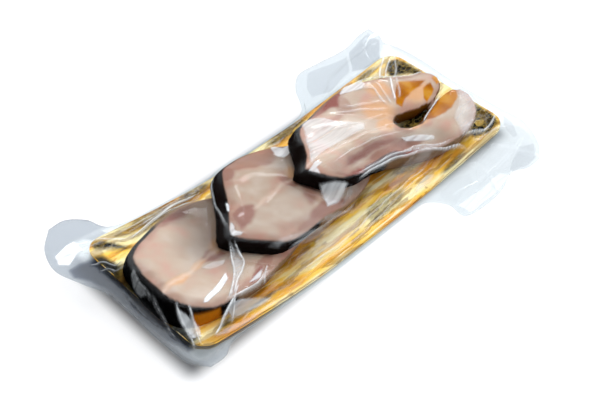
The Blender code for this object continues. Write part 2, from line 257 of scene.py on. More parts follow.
top, back = card_surface(CARD_HIGH), card_surface(CARD_LOW)
rows, columns = top.shape[:2]
count = rows * columns  # the back's points are numbered after the face's
ring = border(rows, columns)
edges = [(a, b, b + count, a + count) for a, b in zip(ring, ring[1:] + ring[:1])]
card_faces = [*grid_faces(rows, columns), *grid_faces(rows, columns, count)[:, ::-1], *edges]
card_points = np.vstack([top.reshape(-1, 3), back.reshape(-1, 3)])
card = new_piece("gold_card", card_points, card_faces, gold_foil())
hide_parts("card")


def nearest(places, line):
    """How far each place lies from the open line through these points, and how far along, 0 to 1."""
    start, side = line[:-1], np.diff(line, axis=0)
    offset = places[:, None] - start
    share = np.clip((offset * side).sum(axis=2) / (side * side).sum(axis=1), 0, 1)
    gap = np.linalg.norm(offset - share[..., None] * side, axis=2)
    closest = gap.argmin(axis=1)
    rows = np.arange(len(closest))
    return gap[rows, closest], (closest + share[rows, closest]) / len(side)


def near_path(places, path):
    """How far each place lies from the path, whose points are in millimetres."""
    return nearest(places, np.array(path) * MM)[0]


def inside(places, corners, edge=0.8 * MM):
    """1 inside the outline through the corners, falling to 0 over the width of its edge."""
    outline = np.array(corners) * MM
    within = np.zeros(len(places), bool)
    for (ax, ay), (bx, by) in zip(outline, np.roll(outline, -1, axis=0)):
        if ay != by:
            crosses = (ay > places[:, 1]) != (by > places[:, 1])
            within ^= crosses & (places[:, 0] < ax + (places[:, 1] - ay) * (bx - ax) / (by - ay))
    share = np.zeros(len(places))
    share[within] = smoothstep(near_path(places[within], [*corners, corners[0]]), 0, edge)
    return share


# Places where the foil is crumpled and painted with dark reflections, as (x, y, half length, half width,
# degrees, share), in millimetres.
CRUMPLES_AND_DARK_REFLECTIONS = [
    (80, -46, 17, 3, 4, 0.8), (92, -7, 26, 10, -12, 1.0), (100, 46, 14, 4, 0, 0.8),
    (30, 48, 26, 4, 0, 0.9), (-124, 27, 3, 9, 10, 0.9), (-50, 47, 22, 5, 0, 0.9),
    (18, -26, 16, 3, 5, 0.6), (56, -29, 14, 3, -20, 0.6), (-78, -43, 20, 2, 3, 0.7),
    (-104, -43, 8, 3, 0, 0.6), (-76, 45, 46, 9, 0, 0.75), (-112, 36, 14, 3, -30, 0.6),
]
# The same for places with a clear outline, as (share, corners).
DARK_REFLECTION_FOLDS = [
    (1.0, [(118.5, 46), (126, 42), (128, 34), (128, 19), (122.5, 19), (118.5, 25), (113, 29), (108, 32),
     (111, 40)]),
    (1.0, [(128, -19), (128, -38), (125, -47), (112, -48), (102, -44), (103, -38), (114, -31), (120, -24)]),
    (1.0, [(-122, 49.5), (-114.5, 48), (-110, 41), (-106, 34), (-110, 31.5), (-116, 37), (-126, 43)]),
    (0.9, [(-127.5, 40), (-124, 34), (-123, 26), (-124, 16), (-127.5, 18)]),
    (0.9, [(8, 50), (45, 50), (42, 44), (30, 42), (14, 43)]),
    (0.9, [(-110, 47.5), (-85, 45), (-60, 46), (-40, 47), (-40, 43), (-62.5, 42), (-86, 41), (-110, 42.5)]),
    (0.5, [(17, -31), (29, -30.5), (37, -33.5), (46, -37.5), (37, -44), (26.5, -46), (12, -46), (8, -42),
     (11, -35)]),
]


# How crumpled each place is, which also sets how much painted dark reflection it takes.
def crumpled_and_painted_dark(places):
    share = np.zeros(len(places))
    for *spot, most in CRUMPLES_AND_DARK_REFLECTIONS:
        share = np.maximum(share, most * near_spot(places, spot))
    for most, corners in DARK_REFLECTION_FOLDS:
        share = np.maximum(share, most * inside(places, corners, 3 * MM))
    return share


set_attribute(card.data, "crumple", crumpled_and_painted_dark(vertex_values(card.data, "co")[:, :2]))

# The slices
# Cross-cuts of an inconnu, about 11 mm thick, lapped like tiles with the back towards -X. The cut
# face is pale muscle in two lobes either side of a fold, redder under the skin, and the skin is
# nearly black along the back and silver at the belly.


def read_grid(grid, low, step, x, y):
    """The grid's values at x and y. Its points lie a step apart, the first of them at low."""
    i, u = np.divmod((x - low[0]) / step, 1)
    j, v = np.divmod((y - low[1]) / step, 1)
    i = np.clip(i.astype(int), 0, grid.shape[0] - 2)
    j = np.clip(j.astype(int), 0, grid.shape[1] - 2)
    near = grid[i, j] * (1 - u) + grid[i + 1, j] * u
    far = grid[i, j + 1] * (1 - u) + grid[i + 1, j + 1] * u
    return near * (1 - v) + far * v


def edge_finder(node):
    """A function that gives how far points lie inside the node's outline seen from above."""
    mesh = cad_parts[node].data
    tree = BVHTree.FromPolygons([v.co for v in mesh.vertices], [p.vertices for p in mesh.polygons])
    low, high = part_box(node)
    step, margin = 0.5 * MM, 4 * MM
    xs = np.arange(low.x - margin, high.x + margin, step)
    ys = np.arange(low.y - margin, high.y + margin, step)
    under = np.zeros((len(xs), len(ys)), bool)
    for i, j in np.ndindex(under.shape):
        under[i, j] = tree.ray_cast(Vector((xs[i], ys[j], 1)), Vector((0, 0, -1)))[0] is not None
    rim = under & ~np.all([np.roll(under, shift, axis) for shift in (1, -1) for axis in (0, 1)], axis=0)
    rim_tree = KDTree(int(rim.sum()))
    for index, (i, j) in enumerate(np.argwhere(rim)):
        rim_tree.insert((xs[i], ys[j], 0), index)
    rim_tree.balance()
    depth = np.where(under, 1.0, -1.0)
    for i, j in np.ndindex(under.shape):
        depth[i, j] *= rim_tree.find((xs[i], ys[j], 0))[2]
    for _ in range(3):
        for axis in (0, 1):
            depth = (2 * depth + np.roll(depth, 1, axis) + np.roll(depth, -1, axis)) / 4

    def depth_at(places):
        return read_grid(depth, (xs[0], ys[0]), step, places[:, 0], places[:, 1])

    return depth_at


def fine_copy(node, voxel):
    """The node's solid with small even faces and its facets smoothed away."""
    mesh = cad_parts[node].data.copy()
    work = bmesh.new()
    work.from_mesh(mesh)
    bmesh.ops.remove_doubles(work, verts=work.verts, dist=1e-5)
    work.to_mesh(mesh)
    work.free()
    blank = bpy.data.objects.new("blank", mesh)
    bpy.context.scene.collection.objects.link(blank)
    remesh = blank.modifiers.new("even", "REMESH")
    remesh.mode = "VOXEL"
    remesh.voxel_size = voxel
    ease = blank.modifiers.new("ease", "SMOOTH")
    ease.factor = 0.5
    ease.iterations = 5
    fine = bpy.data.meshes.new_from_object(blank.evaluated_get(bpy.context.evaluated_depsgraph_get()))
    bpy.data.objects.remove(blank)
    return fine


# What shows on each slice, in millimetres: ellipses as (x, y, half length, half width, degrees), with
# a share for blood, stains as (share, width of the edge, corners) and shades as (share, reach, path).
# lean and rim widen the skin's band, tone darkens all of it, and its skin is silver past silver_from.
SLICES = {
    "slice_front": {
        "lean": (-4.5, 2.0),
        "rim": 1.2,
        "fold": [(-120, -13), (-110, -11), (-100, -11), (-91, -8), (-81, -7), (-70, -4)],
        "blood": [(-84, -8, 9, 4, 10, 0.7), (-78, 30, 20, 6, 8, 0.6), (-64, -30, 12, 5, 20, 0.6)],
        "stains": [
            (0.9, 5, [(-92, 32), (-78, 40), (-66, 38), (-65, 26), (-74, 22), (-84, 23)]),
            (0.9, 3, [(-93, -8), (-84, -3), (-74, -3), (-72, -13), (-83.5, -14), (-92, -11)]),
            (1.0, 2, [(-86, -39), (-76, -39), (-64, -32), (-66, -29), (-74, -31)]),
        ],
        "fat": [(-109, -12, 12, 4, 5), (-92, -9, 8, 3, 10), (-76, -4, 8, 5, 30)],
        "shade": [(1.0, 34, [(-72, -2), (-63, 8), (-54, 22), (-46, 34)]), (0.9, 22, [(-68, 31), (-61, 21)])],
        "silver_from": -94,
        "overhang": (-6, -7),
        "low_amber": (-110, -36, 9, 6, -30),
    },
    "slice_middle": {
        "lean": (-7.0, 3.0),
        "fold": [(-44, -1), (-32, 3), (-22, 5), (-14, 7), (-8, 5), (0, 1)],
        "blood": [(-34, 35, 13, 8, 45, 0.7), (-10, 6, 5, 9, 20, 0.8),
                  (-8, -24, 22, 7, 4, 0.7), (-26, -27, 16, 4, 8, 0.6)],
        "stains": [
            (0.85, 3.5, [(-52, 7), (-40, 4), (-40, -1), (-47, -7), (-54, -11), (-64, -12), (-62, -1),
             (-57, 6)]),
            (0.55, 3.5, [(-30, 50), (-10, 52), (6, 48), (12, 36), (1, 27), (-9, 24), (-20, 28), (-31, 33)]),
            (0.5, 9, [(-48, -13), (-37, -17), (-26, -18), (-12, -19), (-12, -28), (-34, -31), (-48, -29)]),
            (0.7, 5, [(-5, 5), (6, 4), (1, -9), (-9, -19), (-18, -19), (-14, -7)]),
        ],
        "fat": [(-2, 10, 7, 12, -30)],
        "shade": [(0.9, 24, [(0, 2), (6, 14), (16, 30), (24, 38)])],
        "tone": 0.30,
        "silver_from": -22,
    },
    "slice_rear": {
        "lean": (-7.0, 3.0),
        "fold": [(-3, 1), (12, 3), (26, 4), (40, 4), (54, 0), (66, -3)],
        "blood": [(55, 41, 26, 7, 5, 1.0), (62, 30, 7, 12, -20, 0.4), (64, -20, 16, 6, -25, 0.7),
                  (48, -18, 18, 5, -10, 0.7)],
        "stains": [
            (1.0, 5, [(25, -4), (38, -3), (50, -4), (63, -9), (68, -17), (51, -17), (38, -15), (24, -16),
             (12, -15)]),
            (1.0, 4, [(4, -10), (16, -15), (31, -15), (44, -16), (60, -20), (72, -28), (66, -33),
             (44, -26), (12, -24)]),
            (0.5, 4, [(34, 28), (47, 29), (63, 30), (68, 27), (59, 22), (45, 20), (34, 20)]),
            (1.0, 5, [(44, 44), (62, 45), (70, 38), (62, 30), (55, 33), (46, 34), (34, 36)]),
        ],
        "fat": [(74, 12, 12, 15, 20), (68, 0, 9, 7, 0), (88, 24, 10, 12, 20), (82, -14, 12, 4, -20),
                (102, 4, 14, 9, 10)],
        "shade": [(0.5, 12, [(14, -12), (32, -9), (50, -9), (66, -15)]), (0.4, 12, [(70, -20), (84, -30)])],
        "silver_from": 41,
        "amber_patches": [
            [(101, 21), (114, 7), (108, 6), (94, 6), (86, 2), (85, 7), (92, 14)],
            [(107, 4), (115, 4), (112, -2), (106, -5), (100, -6), (101, -2)],
            [(118, 7), (124, 6), (120, -1), (116, 0)],
            [(88, -15), (94, -11.5), (104, -9), (112, -8), (120, -8), (121, -12), (116, -18), (106, -21.5),
             (99, -21), (92, -19)],
        ],
    },
}
CAVITY = [(77, -2), (86, -7), (100, -10), (126, -9)]  # the middle of the rear slice's hollow


def cut_fish():
    """Raw oily fish: pale translucent muscle, and skin that is black along the back.

    Blood darkens the muscle beside the skin and the fold, and fat lies orange by the belly. The film
    lies wetted to the fish, so the shine is the film's and the fish has none of its own.
    """
    material, tree = new_material("raw fish, cut face and skin")
    masks = {
        name: add_node(tree, "ShaderNodeAttribute", {"attribute_name": name}).outputs["Fac"]
        for name in ("skin", "blood", "fat", "fold", "silver", "amber", "shade")
    }
    clouds, grain, membranes = (
        add_node(tree, "ShaderNodeTexNoise", {
            "Scale": 1.0, "Detail": detail, "Roughness": roughness,
            "Vector": object_coordinates(tree, size),
        }).outputs["Fac"]
        for size, detail, roughness in (
            ((16, 16, 16), 3.0, 0.5), ((1.6, 1.6, 1.6), 4.0, 0.6), ((9, 16, 20), 2.0, 0.4),
        )
    )
    muscle, mottle, amber = (
        add_node(tree, "ShaderNodeValToRGB", {"Fac": pattern, "stops": stops}).outputs["Color"]
        for pattern, stops in (
            (clouds, [(0.32, "#C99C8A"), (0.50, "#C4AB97"), (0.68, "#D0BCAC")]),
            (clouds, [(0.30, 0.7), (0.60, 1.0)]),
            (membranes, [(0.36, "#A05A0C"), (0.50, "#B87014"), (0.62, "#C88A30")]),
        )
    )

    def painted(colour, layers):
        """The colour under (colour, mask, share) layers, laid one over another."""
        for layer, mask, share in layers:
            cover = add_node(tree, "ShaderNodeMath", {"operation": "MULTIPLY", 0: mask, 1: share})
            colour = add_node(
                tree, "ShaderNodeMix", {"data_type": "RGBA", 0: cover.outputs[0], 6: colour, 7: layer}
            ).outputs[2]
        return colour

    flesh = painted(muscle, [
        ("#8A4236", masks["blood"], mottle),
        ("#E0A878", masks["fat"], 0.8),
        ("#E6CBB8", masks["fold"], 0.6),
        ("#8A5C50", grain, 0.12),
        (amber, masks["amber"], 1.0),
        ("#4A3A30", masks["shade"], 0.8),
    ])
    hide = painted("#070403", [
        ("#140C0A", grain, 1.0), ("#7A5E46", masks["silver"], 1.0), ("#A8600F", masks["amber"], 1.0),
    ])
    colour = painted(flesh, [(hide, masks["skin"], 1.0)])

    scales = add_node(tree, "ShaderNodeTexVoronoi", {
        "Scale": 1.0, "Randomness": 0.5, "Vector": object_coordinates(tree, (2.8, 2.8, 2.8)),
    }).outputs["Distance"]
    relief = painted(grain, [(scales, masks["skin"], 1.0)])
    bump = add_node(
        tree, "ShaderNodeBump", {"Strength": 0.25, "Distance": 0.3 * MM, "Height": relief}
    ).outputs["Normal"]
    surface = add_node(tree, "ShaderNodeBsdfPrincipled", {
        "Roughness": 0.4, "Specular IOR Level": 0.0, "Subsurface Weight": 0.12,
        "Subsurface Radius": (1.0, 0.45, 0.30), "Subsurface Scale": 2.5 * MM,
        "Base Color": colour, "Normal": bump,
    })
    add_node(tree, "ShaderNodeOutputMaterial", {"Surface": surface.outputs["BSDF"]})
    return material


WOBBLE, RIPPLE = 7 * MM, 2.5 * MM  # sizes of two noises that roughen the edges of what is painted
SKIN_BAND, RED_BAND = (0.2 * MM, 1.0 * MM), (1 * MM, 7 * MM)  # from the outline inwards
HOLLOW_EDGE, SILVER_EDGE = (8 * MM, 11 * MM), 6 * MM
FOLD_WIDTH, FOLD_DEPTH = 1.3 * MM, 0.5 * MM
fish_material = cut_fish()
for node, shape in SLICES.items():
    mesh = fine_copy(node, voxel=1.0 * MM)
    mesh.materials.clear()
    mesh.materials.append(fish_material)
    mesh.shade_smooth()
    points, upright = vertex_values(mesh, "co"), vertex_values(mesh, "normal")[:, 2]
    places, below_top = points[:, :2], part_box(node)[1].z - points[:, 2]
    wobble, ripple = (
        np.array([noise.noise(Vector(point) / size) for point in points]) for size in (WOBBLE, RIPPLE)
    )
    drift = places + MM * (1.6 * wobble + 0.7 * ripple)[:, None]

    # The skin is the slice's side: what is steep, and a narrow band round the cut face.
    depth = edge_finder(node)
    lean = np.array(shape["lean"]) * MM
    inset = np.minimum(depth(places), depth(places + lean)) - 0.25 * MM
    rim = shape.get("rim", 0) * MM * smoothstep(places[:, 1], 0, 8 * MM)
    rim *= smoothstep(-places[:, 0], 60 * MM, 75 * MM)
    band = 1 - smoothstep(inset + 0.15 * MM * ripple - rim, *SKIN_BAND)
    side = np.maximum(band, 1 - smoothstep(upright, 0.25, 0.5))
    skin = side * (1 - smoothstep(-upright, 0.7, 0.9))
    hollow = 1 - smoothstep(near_path(places, CAVITY), *HOLLOW_EDGE)
    silver_from = shape["silver_from"] * MM
    silver = smoothstep(places[:, 0], silver_from, silver_from + SILVER_EDGE) * (1 - hollow)

    fold = np.exp(-((near_path(drift, shape["fold"]) / FOLD_WIDTH) ** 2))
    blood = 0.45 * (1 - smoothstep(inset + 2.5 * MM * wobble, *RED_BAND))
    for *spot, share in shape["blood"]:
        blood = np.maximum(blood, share * smoothstep(near_spot(drift, spot), 0, 0.8))
    for share, edge, corners in shape["stains"]:
        blood = np.maximum(blood, share * inside(drift, corners, edge * MM))
    fat = np.max([near_spot(drift, spot) for spot in shape["fat"]], axis=0)
    amber = 0.25 * hollow * side
    for corners in shape.get("amber_patches", []):
        amber = np.maximum(amber, inside(places + 0.4 * (drift - places), corners))
    if "low_amber" in shape:
        low = side * smoothstep(below_top, 4 * MM, 6 * MM)
        amber = np.maximum(amber, low * smoothstep(near_spot(drift, shape["low_amber"]), 0, 0.4))
    light = np.full(len(points), 1 - shape.get("tone", 0.0))
    for share, reach, path in shape["shade"]:
        light *= 1 - share * (1 - smoothstep(near_path(drift, path), 1 * MM, reach * MM)) * (1 - side)
    values = {
        "skin": skin, "blood": blood, "fat": fat, "fold": fold * (1 - side), "silver": silver,
        "amber": amber, "shade": 1 - light,
    }
    for name, value in values.items():
        set_attribute(mesh, name, value)

    # The first slice's skin flares at its foot, and the fold lies in a shallow groove.
    if "overhang" in shape:
        foot = smoothstep(below_top - 2 * MM, 0, 12 * MM)
        foot *= smoothstep(-places[:, 0], 96 * MM, 114 * MM) * smoothstep(-places[:, 1], -16 * MM, 6 * MM)
        foot *= 1 - 0.8 * smoothstep(-places[:, 1], 24 * MM, 40 * MM)
        points[:, :2] += foot[:, None] * np.array(shape["overhang"]) * MM
    points[:, 2] += (0.06 * MM * wobble - FOLD_DEPTH * fold) * smoothstep(upright, 0.5, 0.9)
    mesh.vertices.foreach_set("co", points.astype(np.float32).ravel())
    piece = bpy.data.objects.new(node.replace("slice", "fish"), mesh)
    bpy.context.scene.collection.objects.link(piece)
    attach(piece, "root")
    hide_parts(node)
    shape["piece"] = piece

# The pouch
# A bag of clear polyamide and polyethylene film, about 0.1 mm thick, drawn down by vacuum over the
# fish and the card and heat-sealed flat past both ends. The film can't shrink, so what is left over
# stands in sharp pleats that run from the high points to the card.
FILM_GAP = 0.25 * MM
GRID, GRID_LOW, GRID_SIZE = MM, np.array([-0.165, -0.095]), (321, 191)  # for heights seen from above
FAR_BELOW = -0.05  # the height where there is nothing


def height_grid(pieces):
    """Heights of the pieces from above on the grid, with the curl taken out."""
    heights = np.full(GRID_SIZE, FAR_BELOW)
    down = Vector((0, 0, -1))
    for piece in pieces:
        mesh = piece.data
        tree = BVHTree.FromPolygons([v.co for v in mesh.vertices], [p.vertices for p in mesh.polygons])
        for i, j in np.ndindex(GRID_SIZE):
            x, y = GRID_LOW + GRID * np.array((i, j))
            hit = tree.ray_cast(Vector((x, y, 1)), down)[0]
            if hit:
                heights[i, j] = max(heights[i, j], hit.z - curl(x))
    return heights


def draped(heights, radius, reach):
    """The surface that a sheet takes over the heights, bending at no less than radius."""
    steps = int(reach / GRID)
    rows, columns = GRID_SIZE
    padded = np.pad(heights, steps, mode="edge")
    best = heights.copy()
    for i in range(2 * steps + 1):
        for j in range(2 * steps + 1):
            fall = ((i - steps) ** 2 + (j - steps) ** 2) * GRID * GRID / (2 * radius)
            best = np.maximum(best, padded[i : i + rows, j : j + columns] - fall)
    return best


def softened(heights, sigma):
    """Heights blurred by sigma, in metres."""
    reach = int(3 * sigma / GRID) + 1
    weights = np.exp(-((np.arange(-reach, reach + 1) * GRID / sigma) ** 2) / 2)
    weights /= weights.sum()
    for axis in (0, 1):
        padded = np.pad(heights, [(reach, reach) if k == axis else (0, 0) for k in (0, 1)], mode="edge")
        heights = sum(
            w * np.take(padded, range(k, k + GRID_SIZE[axis]), axis=axis) for k, w in enumerate(weights)
        )
    return heights


CURVE_STEPS = 30  # between two points of a curve, and along a pleat


def curve_through(points, count):
    """count points spaced evenly along a smooth open curve through the points, in millimetres."""
    points = np.array(points, float) * MM
    padded = np.vstack([2 * points[0] - points[1], points, 2 * points[-1] - points[-2]])
    fine = []
    for a, b, c, d in zip(padded, padded[1:], padded[2:], padded[3:]):
        for t in np.linspace(0, 1, CURVE_STEPS, endpoint=False):
            bend = (2 * a - 5 * b + 4 * c - d) * t**2 + (3 * b - a - 3 * c + d) * t**3
            fine.append(b + ((c - a) * t + bend) / 2)
    fine = np.array([*fine, points[-1]])
    along = np.concatenate([[0], np.cumsum(np.linalg.norm(np.diff(fine, axis=0), axis=1))])
    at = np.linspace(0, along[-1], count)
    return np.stack([np.interp(at, along, fine[:, k]) for k in (0, 1)], axis=-1)


# The pouch's edge seen from above, as four sides that meet at the corners of its sealed ends.
FRONT = [
    (-129, -60), (-118, -59), (-106, -53.5), (-70, -52.5), (-10, -52.5), (36, -52.5), (46, -55),
    (53, -65), (53, -77), (69, -80.5), (85, -79.5), (100, -75), (110, -79.5), (121, -80),
]
BACK = [
    (-134, 70), (-122, 72), (-112, 66), (-103, 54), (-70, 52.5), (-10, 52.5), (36, 52.5), (49, 55),
    (56, 64), (62, 73.5), (74, 82.5), (92, 81), (114, 78), (130, 81), (141, 81),
]
NEAR_END = [
    (-129, -60), (-136.5, -50), (-138, -30), (-137.5, -5), (-138, 12), (-144, 26), (-149, 42),
    (-145, 58), (-134, 70),
]
FAR_END = [
    (121, -80), (131, -71), (136.5, -55), (135.5, -35), (135, 0), (137, 30), (136, 48), (134, 60),
    (140, 70), (141, 81),
]

ALONG, ACROSS = 385, 225  # points of the film's front web
u = np.linspace(0, 1, ALONG)[:, None, None]
v = np.linspace(0, 1, ACROSS)[None, :, None]
front, rear = curve_through(FRONT, ALONG)[:, None], curve_through(BACK, ALONG)[:, None]
near_end, far_end = curve_through(NEAR_END, ACROSS)[None], curve_through(FAR_END, ACROSS)[None]
corners = (1 - v) * ((1 - u) * front[0, 0] + u * front[-1, 0])
corners = corners + v * ((1 - u) * rear[0, 0] + u * rear[-1, 0])
plan = (1 - v) * front + v * rear + (1 - u) * near_end + u * far_end - corners
film_x, film_y = plan[..., 0], plan[..., 1]


def over_plan(heights):
    """The grid's heights at the film's points."""
    return read_grid(heights, GRID_LOW, GRID, film_x, film_y)


contents = height_grid([shape["piece"] for shape in SLICES.values()])
over_fish = draped(contents, radius=2.4 * MM, reach=8 * MM)
over_card = draped(height_grid([card]), radius=1.5 * MM, reach=6 * MM)
tight = softened(np.maximum(over_fish, over_card), sigma=0.9 * MM)
film_height = over_plan(tight) + FILM_GAP

# Pleats, as (half width, height, cloudiness, points along the crest), in millimetres. The cloudiness
# paints the crest white, as whitened film and as a painted highlight.
PLEATS = [
    # The web from the middle slice's tip to the card's front edge, which opens like scissors.
    (1.1, 2.6, 0.8, [(-70, -9), (-76.5, -18), (-81, -25), (-85, -29.5), (-89.5, -33.5), (-95, -37),
     (-101, -39.5)]),
    (1.1, 2.6, 0.8, [(-69, -11), (-71.5, -17.5), (-72.5, -23), (-77.5, -27.5), (-85, -32), (-90, -36),
     (-96, -40)]),
    (1.2, 1.8, 0.7, [(-92, -38), (-95, -39.5), (-101, -42), (-107, -44), (-116, -47)]),
    (0.9, 1.2, 0.5, [(-84, -33), (-92, -38), (-98, -43), (-104, -47)]),
    (2.0, 1.6, 0.3, [(-95, -39), (-86, -39), (-74, -38), (-62, -34)]),
    (1.0, 1.2, 0.5, [(-101, -38), (-95, -38.5), (-86, -38.5), (-74, -37.5), (-64, -33)]),
    (1.0, 1.2, 0.4, [(-62, -31), (-66, -34), (-71, -38), (-75, -41)]),
    # Along the skins.
    (1.0, 1.6, 0.35, [(-34, 44), (-46, 33), (-55, 20), (-63, 4), (-68, -7)]),
    (1.5, 1.4, 0.12, [(-121, 12), (-124, 3), (-125, -5), (-127, -14)]),
    (1.6, 1.4, 0.12, [(-124, -8), (-127, -17), (-129, -27), (-131, -38)]),
    (1.2, 1.8, 0.4, [(-119, -22), (-122, -28), (-124, -36), (-127, -43)]),
    (1.2, 1.8, 0.5, [(-115, -27), (-118, -34), (-122, -42), (-124, -48)]),
    (1.0, 1.2, 0.4, [(-122, -34), (-125, -40), (-128, -47)]),
    (1.4, 1.6, 0.4, [(14, -21), (36, -21), (62, -25), (77, -35), (92, -41)]),
    # Along the card's back edge.
    (1.4, 2.2, 0.7, [(-110, 36), (-92, 40), (-79, 43), (-65, 44.5), (-53, 44), (-43, 45)]),
    (1.2, 1.8, 0.6, [(-104, 34), (-88, 37.5), (-74, 40), (-60, 41), (-50, 41)]),
    (0.9, 1.0, 0.4, [(-116, 45), (-94, 46), (-77, 47), (-63, 47.5), (-50, 48)]),
    (0.9, 0.8, 0.4, [(-96, 43), (-80, 45), (-66, 46), (-52, 46)]),
    # Over the card's near end.
    (1.4, 1.2, 0.3, [(-134, 36), (-126, 31), (-124, 27), (-119, 19)]),
    (1.2, 1.0, 0.2, [(-133, 29), (-127, 25), (-125, 21), (-122, 15)]),
    (1.8, 1.2, 0.4, [(-136, 54), (-118, 49), (-112, 44), (-101, 36)]),
    (1.6, 1.0, 0.1, [(-130, 40), (-115, 38), (-108, 33)]),
    (1.6, 1.0, 0.2, [(-140, 50), (-134, 48), (-126, 46), (-112, 46)]),
    # Fanned out round the rear slice's hollow.
    (1.8, 0.7, 0.12, [(9, -0.5), (30, 3.5), (45, 2), (58, 0), (70, -3), (84, -4)]),
    (1.2, 0.6, 0.2, [(9.5, -8.5), (32, -3.5), (48, -5.5), (64, -9), (75, -14)]),
    (1.6, 0.5, 0.12, [(36, 18), (50, 13.5), (60.5, 10.5), (70.5, 7), (78, 4)]),
    (1.4, 0.7, 0.3, [(52, 30), (58.5, 25.5), (67.5, 19.5), (74, 12), (80.5, 6)]),
    (1.8, 0.8, 0.2, [(60, 32), (65, 26), (72.5, 21.5), (80, 16), (84, 9)]),
    (1.2, 0.8, 0.4, [(78, 36), (86, 28), (84, 21), (81.5, 14.5), (80.5, 7.5)]),
    (1.2, 0.8, 0.3, [(92, 33), (90.5, 25.5), (87.5, 18), (84.5, 12), (82, 6.5)]),
    (1.3, 1.1, 0.8, [(103, 29), (97, 21), (91, 14), (85, 7)]),
    (1.4, 0.8, 0.3, [(107, 27), (101, 20), (95, 13), (88, 7)]),
    (1.0, 0.9, 0.9, [(112, -7), (106, -9), (100, -10.5), (95, -12), (89, -14.5), (84, -17)]),
    (1.8, 1.6, 0.35, [(78, 42), (93, 36), (102, 25), (113, 16), (126, 14)]),
    # From the middle slice's tip to the card's far corner, and over its far end.
    (1.2, 1.8, 0.6, [(12, -24), (26, -22.5), (40, -23), (54, -25.5), (66, -30.5), (78, -39), (90, -45),
     (98, -51)]),
    (0.9, 1.0, 0.5, [(14, -20), (30, -20.5), (46, -21.5), (60, -25), (72, -33), (82, -39.5)]),
    (1.6, 1.8, 0.4, [(88, -40), (99, -42), (109, -43.5), (119, -43), (134, -38)]),
    (1.4, 1.2, 0.3, [(95, -43), (104, -46), (118, -48), (130, -54)]),
    (1.0, 0.9, 0.3, [(94, -36), (102.5, -38.5), (109.5, -36)]),
    (1.8, 1.8, 0.55, [(126, 52), (113.5, 44.5), (107.5, 40), (96, 28)]),
    (1.2, 1.2, 0.5, [(124, 45), (114, 40), (104, 31)]),
    (1.4, 1.2, 0.3, [(104, 27), (114, 32), (124, 42), (132, 52)]),
    # Folds in the sealed flaps.
    (2.0, 0.9, 0.1, [(84, -52), (88, -60), (86, -70), (80, -81)]),
    (1.6, 0.9, 0.1, [(56, -62), (80, -66), (104, -66), (132, -62)]),
    (1.6, 0.8, 0.1, [(104, -52), (112, -62), (118, -72), (122, -80)]),
    (1.8, 0.8, 0.1, [(66, 54), (82, 62), (100, 66), (134, 66)]),
    (1.6, 0.8, 0.1, [(112, 52), (116, 62), (124, 70), (140, 80)]),
    # Between the fish and the card's front edge.
    (1.3, 0.8, 0.2, [(-56, -36), (-40, -34), (-20, -32), (0, -30), (18, -27)]),
    (1.2, 0.8, 0.2, [(-62, -40), (-40, -38), (-10, -37), (20, -34), (46, -30)]),
    (1.3, 0.9, 0.3, [(-70, -43), (-40, -41), (-8, -41), (18, -38), (50, -36), (86, -39)]),
    (1.2, 0.8, 0.2, [(-51, -46), (-27, -44.5), (-7, -45), (10, -44), (45, -39), (84, -41)]),
    (1.2, 0.8, 0.2, [(-106, -45), (-98, -44), (-88, -41)]),
    (1.2, 0.8, 0.2, [(-100, -48), (-86, -45), (-70, -46)]),
]


def pleated(places, width, height, points):
    """Heights of one pleat at the places: sharp at its crest and running out at both ends."""
    crest = curve_through(points, CURVE_STEPS)
    near = np.all((places > crest.min(0) - width) & (places < crest.max(0) + width), axis=1)
    gap, along = nearest(places[near], crest)
    shape = np.clip(1 - gap / width, 0, 1) ** 1.3
    lift = np.zeros(len(places))
    lift[near] = height * shape * smoothstep(along, 0, 0.2) * smoothstep(1 - along, 0, 0.2)
    return lift


# Small waves that keep the pleats and the facets from being straight.
wander = np.stack([
    np.sin(film_y / (2.7 * MM) + 0.4) + np.sin(film_x / (4.1 * MM) + film_y / (5.3 * MM)),
    np.sin(film_x / (3.1 * MM) + 1.4) + np.sin(film_x / (6.1 * MM) - film_y / (4.7 * MM)),
], axis=-1)
places = (plan + 0.22 * MM * wander).reshape(-1, 2)
pleats, haze_and_glare = np.zeros(len(places)), np.zeros(len(places))  # a pleat is cloudiest at its crest
for width, height, cloud, points in PLEATS:
    pleat = pleated(places, width * MM, height * MM, points)
    pleats = np.maximum(pleats, pleat)
    # The cloud along each crest is whitened film and a painted highlight.
    haze_and_glare = np.maximum(haze_and_glare, min(1.3 * cloud, 0.95) * (pleat / (height * MM)) ** 1.8)

outside = np.hypot(
    np.clip(np.abs(film_x) - CARD_LENGTH / 2, 0, None),
    np.clip(np.abs(film_y) - CARD_WIDTH / 2, 0, None),
)
# Past the card the film lies in flaps. The far one droops by a share of the card's curl, and the near
# one waves and rises to a lobe at its back corner. Neither sinks into the table.
FLAP_REACH, FAR_DROOP = 30 * MM, 0.60
NEAR_LOBE, NEAR_WAVE, WAVE_LENGTH = 6 * MM, 0.5 * MM, 28 * MM
FLAP_LOWEST, FLAP_FACE, FLAP_BACK, CARD_BACK = 0.4 * MM, 0.8 * MM, 0.2 * MM, 0.35 * MM  # heights
near = film_x < 0
spread = smoothstep(outside, 0, FLAP_REACH)
droop = FAR_DROOP * (film_x > 0) * spread * curl(film_x)
lobe = NEAR_LOBE * smoothstep(film_y / CARD_WIDTH * 2 - 1) * near * spread
turn = 2 * math.pi / WAVE_LENGTH
wave = NEAR_WAVE * (np.sin(film_x * turn) + np.cos(film_y * turn * 0.8 + 1.0)) * near * spread
flap = np.maximum(wave - droop + lobe, FLAP_LOWEST * spread - curl(film_x))
film_top = np.maximum(film_height, flap + FLAP_FACE) + pleats.reshape(film_x.shape)
film_back = np.where(outside > 0, flap + FLAP_BACK, CARD_BACK)
